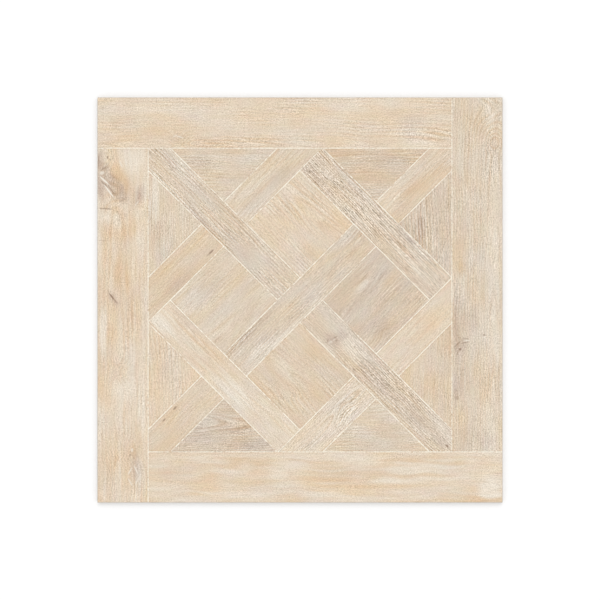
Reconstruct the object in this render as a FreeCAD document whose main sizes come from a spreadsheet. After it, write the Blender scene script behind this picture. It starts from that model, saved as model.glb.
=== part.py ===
import FreeCAD
import Part
import Sketcher
import os

# Wood-look floor tile.
# A square of pressed and fired porcelain stoneware, 800 x 800 x 10 mm, ground square on its four
# sides. Its face imitates a parquet panel: four border boards laid as a pinwheel, and inside them
# a basket of battens woven at 45 degrees over square and triangular boards. The joints between the
# boards are shallow grooves pressed into the face. The underside has a raised keying lattice, which
# is what the tile stands on. All of it is one piece.
# Frame: origin at the centre of the underside, +Z out of the face, millimetres.

SIZES = {
    "tile_side": 800.0,        # the tile is square
    "tile_thickness": 10.0,    # from the lattice's crests to the face
    "edge_bevel": 0.8,         # ground off the face's rim, the same on both legs
    "border_width": 100.0,     # from the tile's side to the middle of the border joint
    "batten_width": 62.5,      # from the middle of one joint to the middle of the next
    "square_side": 150.0,      # the square boards between the battens, joint to joint
    "joint_width": 2.0,        # across a joint at the face
    "joint_depth": 0.4,
    "joint_flank_deg": 45.0,   # how far a joint's sides lean from upright
    "back_margin": 25.0,       # the least width of the flat rim round the keying lattice
    "cell_pitch": 37.5,        # from one lattice rib to the next
    "cell_depth": 0.8,
    "rib_crest": 3.0,          # across a rib where it meets the bed
    "rib_draft_deg": 30.0,     # how far a rib's sides lean from upright
}

# Formulas that several features share, in the words of the sheet
FIELD_HALF = "(Sizes.tile_side / 2 - Sizes.border_width)"
CORNER = f"(sqrt(2) * {FIELD_HALF})"            # from the middle to the field's corner
NEAR = "(Sizes.batten_width / 2)"               # side of a middle batten, off its centre line
INNER = f"({NEAR} + Sizes.square_side)"         # inner side of an outer batten
OUTER = f"({INNER} + Sizes.batten_width)"       # outer side of an outer batten
CELLS = "floor((Sizes.tile_side - 2 * Sizes.back_margin) / Sizes.cell_pitch)"
LATTICE = f"({CELLS} * Sizes.cell_pitch)"       # side of the keyed area
JOINT_FLOOR = "(Sizes.joint_width - 2 * Sizes.joint_depth * tan(Sizes.joint_flank_deg))"
RIB_ROOT = "(Sizes.rib_crest + 2 * Sizes.cell_depth * tan(Sizes.rib_draft_deg))"

EAST, NORTH_EAST, NORTH, NORTH_WEST = 0.0, 45.0, 90.0, 135.0   # headings, degrees from +X


def make_sheet(doc):
    """The driving dimensions, one to a row, each under its own alias."""
    sheet = doc.addObject("Spreadsheet::Sheet", "Sizes")
    for row, (alias, value) in enumerate(SIZES.items(), start=1):
        sheet.set(f"A{row}", alias)
        sheet.set(f"B{row}", str(value))
        sheet.setAlias(f"B{row}", alias)
    doc.recompute()
    return sheet


def origin_feature(body, role):
    """One of the body's own base planes or axes."""
    return next(f for f in body.Origin.OriginFeatures if f.Role == role)


def flat_sketch(body, name, height=None):
    """An empty sketch parallel to the tile, at a height given as a formula."""
    sketch = body.newObject("Sketcher::SketchObject", name)
    sketch.AttachmentSupport = [(origin_feature(body, "XY_Plane"), "")]
    sketch.MapMode = "FlatFace"
    if height:
        sketch.setExpression("AttachmentOffset.Base.z", height)
    return sketch


def upright_sketch(body, name, heading, start, height):
    """An empty sketch that stands across a heading: its x points to the left of the heading and its
    y points up. start is how far along the heading it stands, height where its origin lies."""
    sketch = body.newObject("Sketcher::SketchObject", name)
    sketch.AttachmentSupport = [(origin_feature(body, "YZ_Plane"), "")]
    sketch.MapMode = "FlatFace"
    turn = FreeCAD.Rotation(FreeCAD.Vector(0, 1, 0), heading)
    sketch.AttachmentOffset = FreeCAD.Placement(FreeCAD.Vector(), turn)
    sketch.setExpression("AttachmentOffset.Base.x", f"{start} * sin({heading})")
    sketch.setExpression("AttachmentOffset.Base.y", height)
    sketch.setExpression("AttachmentOffset.Base.z", f"{start} * cos({heading})")
    return sketch


def outline(sketch, corners):
    """A closed outline through the corners."""
    first = sketch.GeometryCount
    count = len(corners)
    points = [FreeCAD.Vector(x, y, 0) for x, y in corners]
    for i in range(count):
        sketch.addGeometry(Part.LineSegment(points[i], points[(i + 1) % count]), False)
    for i in range(count):
        sketch.addConstraint(
            Sketcher.Constraint("Coincident", first + i, 2, first + (i + 1) % count, 1)
        )
    return first


def tie(sketch, kind, *where, to):
    """A distance in the sketch that follows a formula."""
    index = sketch.addConstraint(Sketcher.Constraint(kind, *where, 1.0))
    sketch.setExpression(f"Constraints[{index}]", to)


def centred_square(sketch, side):
    """A square about the sketch's origin whose side is a formula."""
    bottom = outline(sketch, [(-1, -1), (1, -1), (1, 1), (-1, 1)])
    for line in (bottom, bottom + 2):
        sketch.addConstraint(Sketcher.Constraint("Horizontal", line))
    for line in (bottom + 1, bottom + 3):
        sketch.addConstraint(Sketcher.Constraint("Vertical", line))
    sketch.addConstraint(Sketcher.Constraint("Symmetric", bottom, 1, bottom + 1, 2, -1, 1))
    tie(sketch, "DistanceX", bottom, 1, bottom, 2, to=side)
    tie(sketch, "DistanceY", bottom + 1, 1, bottom + 1, 2, to=side)


def sloped_section(sketch, across, at_face, inside, depth, upward):
    """A section with leaning sides. Its edge on the sketch's x axis is at_face wide, and the edge
    depth away from it is inside wide, above the axis if upward and otherwise below."""
    far = 1 if upward else -1
    face = outline(sketch, [(2, 0), (4, 0), (4, far), (2, far)])
    inner = face + 2
    for point in (1, 2):
        sketch.addConstraint(Sketcher.Constraint("PointOnObject", face, point, -1))
    sketch.addConstraint(Sketcher.Constraint("Horizontal", inner))
    tie(sketch, "DistanceX", -1, 1, face, 1, to=f"{across} - {at_face} / 2")
    tie(sketch, "DistanceX", -1, 1, face, 2, to=f"{across} + {at_face} / 2")
    tie(sketch, "DistanceX", -1, 1, inner, 2, to=f"{across} - {inside} / 2")
    tie(sketch, "DistanceX", -1, 1, inner, 1, to=f"{across} + {inside} / 2")
    if upward:
        tie(sketch, "DistanceY", face, 2, inner, 1, to=depth)
    else:
        tie(sketch, "DistanceY", inner, 1, face, 2, to=depth)


def check_cut(doc, before, after, name):
    """A cut that points away from the solid takes nothing, so the volumes are compared."""
    doc.recompute()
    if not after.Shape.Volume < before.Shape.Volume:
        raise RuntimeError(f"{name} cut nothing")


def press_slab(doc, body):
    """The square slab, with the bevel ground round its face."""
    sketch = flat_sketch(body, "slab_outline")
    centred_square(sketch, "Sizes.tile_side")
    slab = body.newObject("PartDesign::Pad", "slab")
    slab.Profile = sketch
    slab.setExpression("Length", "Sizes.tile_thickness")
    doc.recompute()
    top = slab.Shape.BoundBox.ZMax
    rim = [
        f"Edge{number}"
        for number, edge in enumerate(slab.Shape.Edges, start=1)
        if edge.BoundBox.ZMin > top - 1e-6
    ]
    bevel = body.newObject("PartDesign::Chamfer", "edge_bevel")
    bevel.Base = (slab, rim)
    bevel.setExpression("Size", "Sizes.edge_bevel")
    check_cut(doc, slab, bevel, "edge_bevel")
    return bevel


def press_joint(body, name, heading, across, start, end):
    """One straight joint in the face. It runs along the heading from start to end, at a distance
    across to the left of the line through the middle."""
    sketch = upright_sketch(body, f"{name}_section", heading, start, "Sizes.tile_thickness")
    sloped_section(
        sketch, across, "Sizes.joint_width", JOINT_FLOOR, "Sizes.joint_depth", upward=False
    )
    joint = body.newObject("PartDesign::Pocket", name)
    joint.Profile = sketch
    joint.Reversed = True
    joint.setExpression("Length", f"{end} - {start}")
    return joint


def turn_copies(body, name, originals, count):
    """The originals again, evenly turned about the upright axis."""
    turned = body.newObject("PartDesign::PolarPattern", name)
    turned.Originals = originals
    turned.Axis = (origin_feature(body, "Z_Axis"), [""])
    turned.Angle = 360
    turned.Occurrences = count
    body.Tip = turned
    return turned


def press_border_joints(doc, body, before):
    """Each border board starts at one side of the tile and stops against the next board, so the four
    joints are one joint turned four times."""
    past_side = "(-Sizes.tile_side / 2 - Sizes.joint_width)"
    joint = press_joint(body, "border_joint", EAST, FIELD_HALF, past_side, FIELD_HALF)
    check_cut(doc, before, joint, "border_joint")
    joints = turn_copies(body, "border_joints", [joint], 4)
    check_cut(doc, joint, joints, "border_joints")
    return joints


def press_batten_joints(doc, body, before):
    """The joints along the woven battens, for one half of the field; the other half is the same
    turned by 180 degrees. Every joint ends on the middle line of the joint that it meets, and where
    one batten passes over another, the lower one's joints stop."""
    runs = [("near_middle", NORTH_EAST, NEAR, f"(-{INNER})", INNER)]
    for name, heading, across, start in (
        ("near_tip", NORTH_EAST, NEAR, OUTER),
        ("inner", NORTH_EAST, INNER, NEAR),
        ("outer", NORTH_EAST, OUTER, NEAR),
        ("crossing_near", NORTH_WEST, NEAR, NEAR),
    ):
        border = f"({CORNER} - {across})"
        runs.append((f"{name}_ahead", heading, across, start, border))
        runs.append((f"{name}_behind", heading, across, f"(-{border})", f"(-{start})"))
    outer_end = f"min({CORNER} - {OUTER}; {INNER})"
    runs.append(("crossing_inner", NORTH_WEST, INNER, f"(-{INNER})", INNER))
    runs.append(("crossing_outer", NORTH_WEST, OUTER, f"(-{outer_end})", outer_end))

    joints = []
    for name, heading, across, start, end in runs:
        joint = press_joint(body, f"{name}_joint", heading, across, start, end)
        check_cut(doc, before, joint, name)
        before = joint
        joints.append(joint)
    turned = turn_copies(body, "batten_joints", joints, 2)
    check_cut(doc, before, turned, "batten_joints")
    return turned


def press_keying(doc, body, before):
    """The underside: a square recess, and across it ribs both ways with one rib on each of its
    sides, so that it becomes a lattice of shallow cells inside a flat rim."""
    outline_sketch = flat_sketch(body, "keyed_area")
    centred_square(outline_sketch, LATTICE)
    recess = body.newObject("PartDesign::Pocket", "recess")
    recess.Profile = outline_sketch
    recess.Reversed = True
    recess.setExpression("Length", "Sizes.cell_depth")
    check_cut(doc, before, recess, "recess")

    last = recess
    for name, heading, axis, back_along in (
        ("rib_east", EAST, "Y_Axis", True),
        ("rib_north", NORTH, "X_Axis", False),
    ):
        half = f"({LATTICE} / 2)"
        sketch = upright_sketch(body, f"{name}_section", heading, f"(-{half})", "0 mm")
        sloped_section(sketch, half, "Sizes.rib_crest", RIB_ROOT, "Sizes.cell_depth", upward=True)
        rib = body.newObject("PartDesign::Pad", name)
        rib.Profile = sketch
        rib.setExpression("Length", LATTICE)
        ribs = body.newObject("PartDesign::LinearPattern", f"{name}_set")
        ribs.Originals = [rib]
        ribs.Direction = (origin_feature(body, axis), [""])
        ribs.Reversed = back_along
        ribs.Mode = "Spacing"
        ribs.setExpression("Offset", "Sizes.cell_pitch")
        ribs.setExpression("Occurrences", f"{CELLS} + 1")
        body.Tip = ribs
        doc.recompute()
        if not ribs.Shape.Volume > last.Shape.Volume:
            raise RuntimeError(f"{name} added nothing")
        last = ribs
    return last


def check_document(doc):
    """Recomputing can leave a feature failed without raising."""
    for feature in doc.Objects:
        if {"Invalid", "Error"} & set(feature.State):
            raise RuntimeError(f"{feature.Name} failed: {feature.State}")


def main():
    doc = FreeCAD.newDocument("FloorTile")
    make_sheet(doc)
    tile = doc.addObject("PartDesign::Body", "tile")
    tile.Label = "tile"
    done = press_slab(doc, tile)
    done = press_border_joints(doc, tile, done)
    done = press_batten_joints(doc, tile, done)
    tile.Tip = press_keying(doc, tile, done)
    doc.recompute()
    check_document(doc)

    os.makedirs("parts", exist_ok=True)
    for piece in (tile,):
        shape = piece.Shape
        if shape.isNull() or not shape.isValid() or len(shape.Solids) != 1:
            raise RuntimeError(f"{piece.Label} is not one valid solid")
        shape.exportStep(f"parts/{piece.Label}.step")
        box = shape.BoundBox
        print(
            f"{piece.Label}: {box.XLength:.2f} x {box.YLength:.2f} x {box.ZLength:.2f} mm, "
            f"{shape.Volume / 1000:.1f} cm3, {len(shape.Faces)} faces"
        )


main()
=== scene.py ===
# %% [markdown]
# # A wood-look floor tile
# The real thing is one square of fired porcelain. Its face is pressed with the joints of a parquet
# panel and printed as pale limed oak, its sides are ground, and its back is a lattice of shallow
# cells that grips the adhesive. This lesson models that one piece, prints the oak on it with
# procedural nodes, and lights it on a white floor, seen from straight above.

# %% Load the frame
import math

import bmesh
import bpy
import numpy as np
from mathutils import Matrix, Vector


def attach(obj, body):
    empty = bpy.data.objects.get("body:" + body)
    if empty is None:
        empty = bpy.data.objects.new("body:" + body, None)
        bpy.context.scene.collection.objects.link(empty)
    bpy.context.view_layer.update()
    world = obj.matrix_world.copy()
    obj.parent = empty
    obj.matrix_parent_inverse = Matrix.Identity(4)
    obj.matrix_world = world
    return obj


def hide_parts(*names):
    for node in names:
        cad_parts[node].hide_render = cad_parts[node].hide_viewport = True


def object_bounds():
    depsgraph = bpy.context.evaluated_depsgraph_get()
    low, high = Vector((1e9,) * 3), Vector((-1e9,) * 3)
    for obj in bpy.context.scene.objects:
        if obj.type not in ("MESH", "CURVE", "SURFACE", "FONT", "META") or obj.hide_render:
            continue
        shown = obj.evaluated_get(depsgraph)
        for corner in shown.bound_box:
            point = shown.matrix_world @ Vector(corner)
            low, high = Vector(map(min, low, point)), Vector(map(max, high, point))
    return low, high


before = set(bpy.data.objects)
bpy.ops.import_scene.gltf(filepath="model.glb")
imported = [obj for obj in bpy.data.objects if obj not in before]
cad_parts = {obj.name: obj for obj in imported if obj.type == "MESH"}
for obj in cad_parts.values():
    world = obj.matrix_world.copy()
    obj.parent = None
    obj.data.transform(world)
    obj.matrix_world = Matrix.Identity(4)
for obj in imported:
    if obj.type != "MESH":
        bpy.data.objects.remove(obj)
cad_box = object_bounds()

MM = 0.001
HALF = cad_box[1][0]              # from the middle of the tile to its side
FACE = cad_box[1][2]              # height of the walking face
BEVEL = 0.8 * MM                  # ground off the face's rim
BORDER = 100 * MM                 # the border boards, to the middle of their joint
BATTEN = 62.5 * MM                # the woven battens, from joint to joint
SQUARE = 150 * MM                 # the square boards between them
JOINT = 2 * MM                    # a joint's width at the face
JOINT_DEPTH = 0.4 * MM
JOINT_FLOOR = 1.2 * MM            # a joint's width at its floor
BED = FACE - JOINT_DEPTH          # height of the joints' floor
FIELD = HALF - BORDER             # half the width inside the border
HAIR = 0.05 * MM                  # nearer than this counts as on a line
CUT_ERROR = 0.01 * MM             # nearer than this, a cut uses a point that is there
print(f"tile {2 * HALF / MM:.0f} mm square and {FACE / MM:.0f} mm thick")

# %% [markdown]
# ## The parquet as a plan
# Every board is a convex outline, so it can be written as a few straight sides: a direction that
# the side faces and its distance from the tile's middle. A strip between two parallel lines is two
# such sides. The battens run along the diagonals, so their strips are measured along the headings
# 45 and 135 degrees, here called the rise and the fall.

# %% Sides, strips and headings
EAST, RISE, NORTH, FALL = 0, 45, 90, 135
NEAR = BATTEN / 2                 # the side of a middle batten
INNER = NEAR + SQUARE             # the inner side of an outer batten
OUTER = INNER + BATTEN            # its outer side


def pointing(heading):
    """A unit vector along a heading in degrees."""
    return np.array((math.cos(math.radians(heading)), math.sin(math.radians(heading))))


def strip(heading, low=None, high=None, rim=()):
    """The sides of a board that lies between two distances along a heading. A distance that is the
    tile's own side is a rim, and the others are joints."""
    sides = []
    if low is not None:
        sides.append((pointing(heading + 180), -low, low in rim))
    if high is not None:
        sides.append((pointing(heading), high, high in rim))
    return sides


def field(rises=(None, None), falls=(None, None)):
    """An inner board, between two distances along the rise and two along the fall. The border cuts
    whatever would run past the field."""
    square = strip(EAST, -FIELD, FIELD) + strip(NORTH, -FIELD, FIELD)
    return strip(RISE, *rises) + strip(FALL, *falls) + square


def edge_board(east, north):
    """A border board, between two distances each way."""
    rim = (-HALF, HALF)
    return strip(EAST, *east, rim) + strip(NORTH, *north, rim)


def corners_of(sides):
    """The corners of an outline, found by cutting a large square by one side after the other."""
    big = 2 * HALF
    loop = [np.array(p) for p in ((-big, -big), (big, -big), (big, big), (-big, big))]
    for facing, distance, _ in sides:
        kept = []
        for start, end in zip(loop, loop[1:] + loop[:1]):
            s, e = start @ facing - distance, end @ facing - distance
            if s <= 0:
                kept.append(start)
            if s * e < 0:
                kept.append(start + (end - start) * s / (s - e))
        loop = kept
    return np.array(loop)


print("middle batten to outer batten:", round(SQUARE / MM), "mm")

# %% [markdown]
# ## The oak of each board
# Sawn wood shows the rings of a log. A board that is cut near the middle of its log shows nested
# arches, and one from further out shows straight lines. So each board says where its log's middle
# lies across it (centre), how far above the log's middle it was cut (depth), how it was tilted
# (slope) and how wide the rings are (ring). The tones are a small palette of limed oak.

# %% Tones and boards
def srgb(red, green, blue):
    """A colour as a screen shows it, 0 to 255, as the linear colour that a shader needs."""
    parts = [c / 255 for c in (red, green, blue)]
    return (*(c / 12.92 if c <= 0.04045 else ((c + 0.055) / 1.055) ** 2.4 for c in parts), 1)


TONES = {
    "cream": srgb(228, 213, 193),
    "straw": srgb(227, 209, 186),
    "beige": srgb(222, 206, 185),
    "honey": srgb(222, 203, 179),
    "oat": srgb(219, 203, 183),
    "tan": srgb(218, 199, 176),
    "smoke": srgb(215, 198, 178),
}


def oak(tone, centre, depth, slope, ring, lines, grey=0.3, cloud=0.35):
    """How a board's wood looks. Lengths are in millimetres; lines, grey and cloud go from 0 to 1:
    how strong its rings are, how grey they are, and how much its tone drifts."""
    return {
        "tone": TONES[tone],
        "log": (centre * MM, depth * MM, slope),
        "mood": (ring * MM, lines, grey, cloud),
    }


A, B, C = NEAR, INNER, OUTER      # short names, for the rows below
BOARDS = {
    "border_top": (EAST, edge_board((-HALF, FIELD), (FIELD, HALF)),
                   oak("straw", -42, 6, 0.05, 6.5, 0.35, 0.15, 0.3)),
    "border_right": (NORTH, edge_board((FIELD, HALF), (-FIELD, HALF)),
                     oak("beige", -34, 14, 0.045, 5.5, 0.5, 0.45, 0.6)),
    "border_bottom": (EAST, edge_board((-FIELD, HALF), (-HALF, -FIELD)),
                      oak("straw", 6, 10, 0.035, 14, 0.05, 0.0, 1.6)),
    "border_left": (NORTH, edge_board((-HALF, -FIELD), (-HALF, FIELD)),
                    oak("straw", 10, 12, 0.04, 8, 0.4, 0.2, 0.8)),
    "middle_rise": (RISE, field((-B, B), (-A, A)), oak("oat", 75, 30, 0.02, 5, 0.6, 0.3, 0.5)),
    "middle_rise_east": (RISE, field((C, None), (-A, A)),
                         oak("honey", 40, 30, 0.03, 6, 0.4, 0.1, 0.9)),
    "middle_rise_west": (RISE, field((None, -C), (-A, A)), oak("honey", 60, 40, 0.03, 7, 0.3, 0.1)),
    "middle_fall_north": (FALL, field((-A, A), (A, None)), oak("oat", -60, 25, 0.01, 5.5, 0.8, 0.6)),
    "middle_fall_south": (FALL, field((-A, A), (None, -A)), oak("oat", 50, 30, 0.01, 3.4, 0.95, 0.4)),
    "fall_east": (FALL, field((B, C), (-B, B)), oak("oat", -30, 16, 0.02, 3.4, 1.35, 0.3, 0.4)),
    "fall_west": (FALL, field((-C, -B), (-B, B)), oak("cream", 60, 60, 0.02, 7, 0.25, 0.3, 0.8)),
    "rise_north_east": (RISE, field((A, None), (B, C)), oak("beige", 55, 45, 0.03, 7, 0.25, 0.2)),
    "rise_north_west": (RISE, field((None, -A), (B, C)), oak("honey", 50, 35, 0.04, 6, 0.2, 0.1)),
    "rise_south_east": (RISE, field((A, None), (-C, -B)), oak("straw", 70, 60, 0.02, 8, 0.15, 0.1)),
    "rise_south_west": (RISE, field((None, -A), (-C, -B)), oak("cream", 4, 10, 0.06, 3.6, 0.75, 0.3)),
    "square_north": (FALL, field((A, B), (A, B)), oak("straw", -30, 18, 0.12, 6, 0.5, 0.0)),
    "square_west": (RISE, field((-B, -A), (A, B)), oak("beige", -50, 40, 0.06, 7, 0.25, 0.15, 0.5)),
    "square_east": (RISE, field((A, B), (-B, -A)), oak("smoke", 40, 25, 0.06, 5, 0.4, 0.3)),
    "square_south": (FALL, field((-B, -A), (-B, -A)), oak("honey", 10, 14, 0.15, 8, 0.35, 0.1)),
    "corner_nw_top": (EAST, field((A, None), (C, None)), oak("beige", -120, 30, 0.05, 6, 0.4, 0.5)),
    "corner_nw_side": (NORTH, field((None, -A), (C, None)), oak("beige", 90, 30, 0.05, 5, 0.5, 0.1)),
    "corner_ne_top": (EAST, field((C, None), (A, None)), oak("tan", 60, 30, 0.04, 5, 0.55, 0.2)),
    "corner_ne_side": (NORTH, field((C, None), (None, -A)), oak("smoke", 80, 30, 0.05, 5, 0.75, 0.8)),
    "corner_sw_side": (NORTH, field((None, -C), (A, None)), oak("straw", 60, 30, 0.1, 6, 0.55, 0.2)),
    "corner_sw_bottom": (EAST, field((None, -C), (None, -A)), oak("smoke", 20, 20, 0.06, 4, 0.6, 0.3)),
    "corner_se_bottom": (EAST, field((None, -A), (None, -C)), oak("beige", 70, 30, 0.08, 5, 0.35, 0.3)),
    "corner_se_side": (NORTH, field((A, None), (None, -C)), oak("honey", -80, 30, 0.06, 6, 0.4, 0.2)),
}
print(len(BOARDS), "boards in the print")

# %% [markdown]
# ## Marks in the wood
# Knots, grey stains, honey streaks and pale patches sit at certain places of certain boards. Each is
# an oval blot that is placed by its pixel in the photograph. A blot tints only the board that its
# middle lies on, and the oak's nodes break up its outline later.

# %% Blots of colour
PHOTO_MIDDLE = (299.93, 300.02)   # the tile's middle, in the photograph's pixels
PIXEL = 2 * HALF / 405.1          # metres for each of those pixels


def in_photo(x, y):
    """The place on the tile of a pixel of the photograph."""
    return np.array(((x - PHOTO_MIDDLE[0]) * PIXEL, (PHOTO_MIDDLE[1] - y) * PIXEL))


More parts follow.
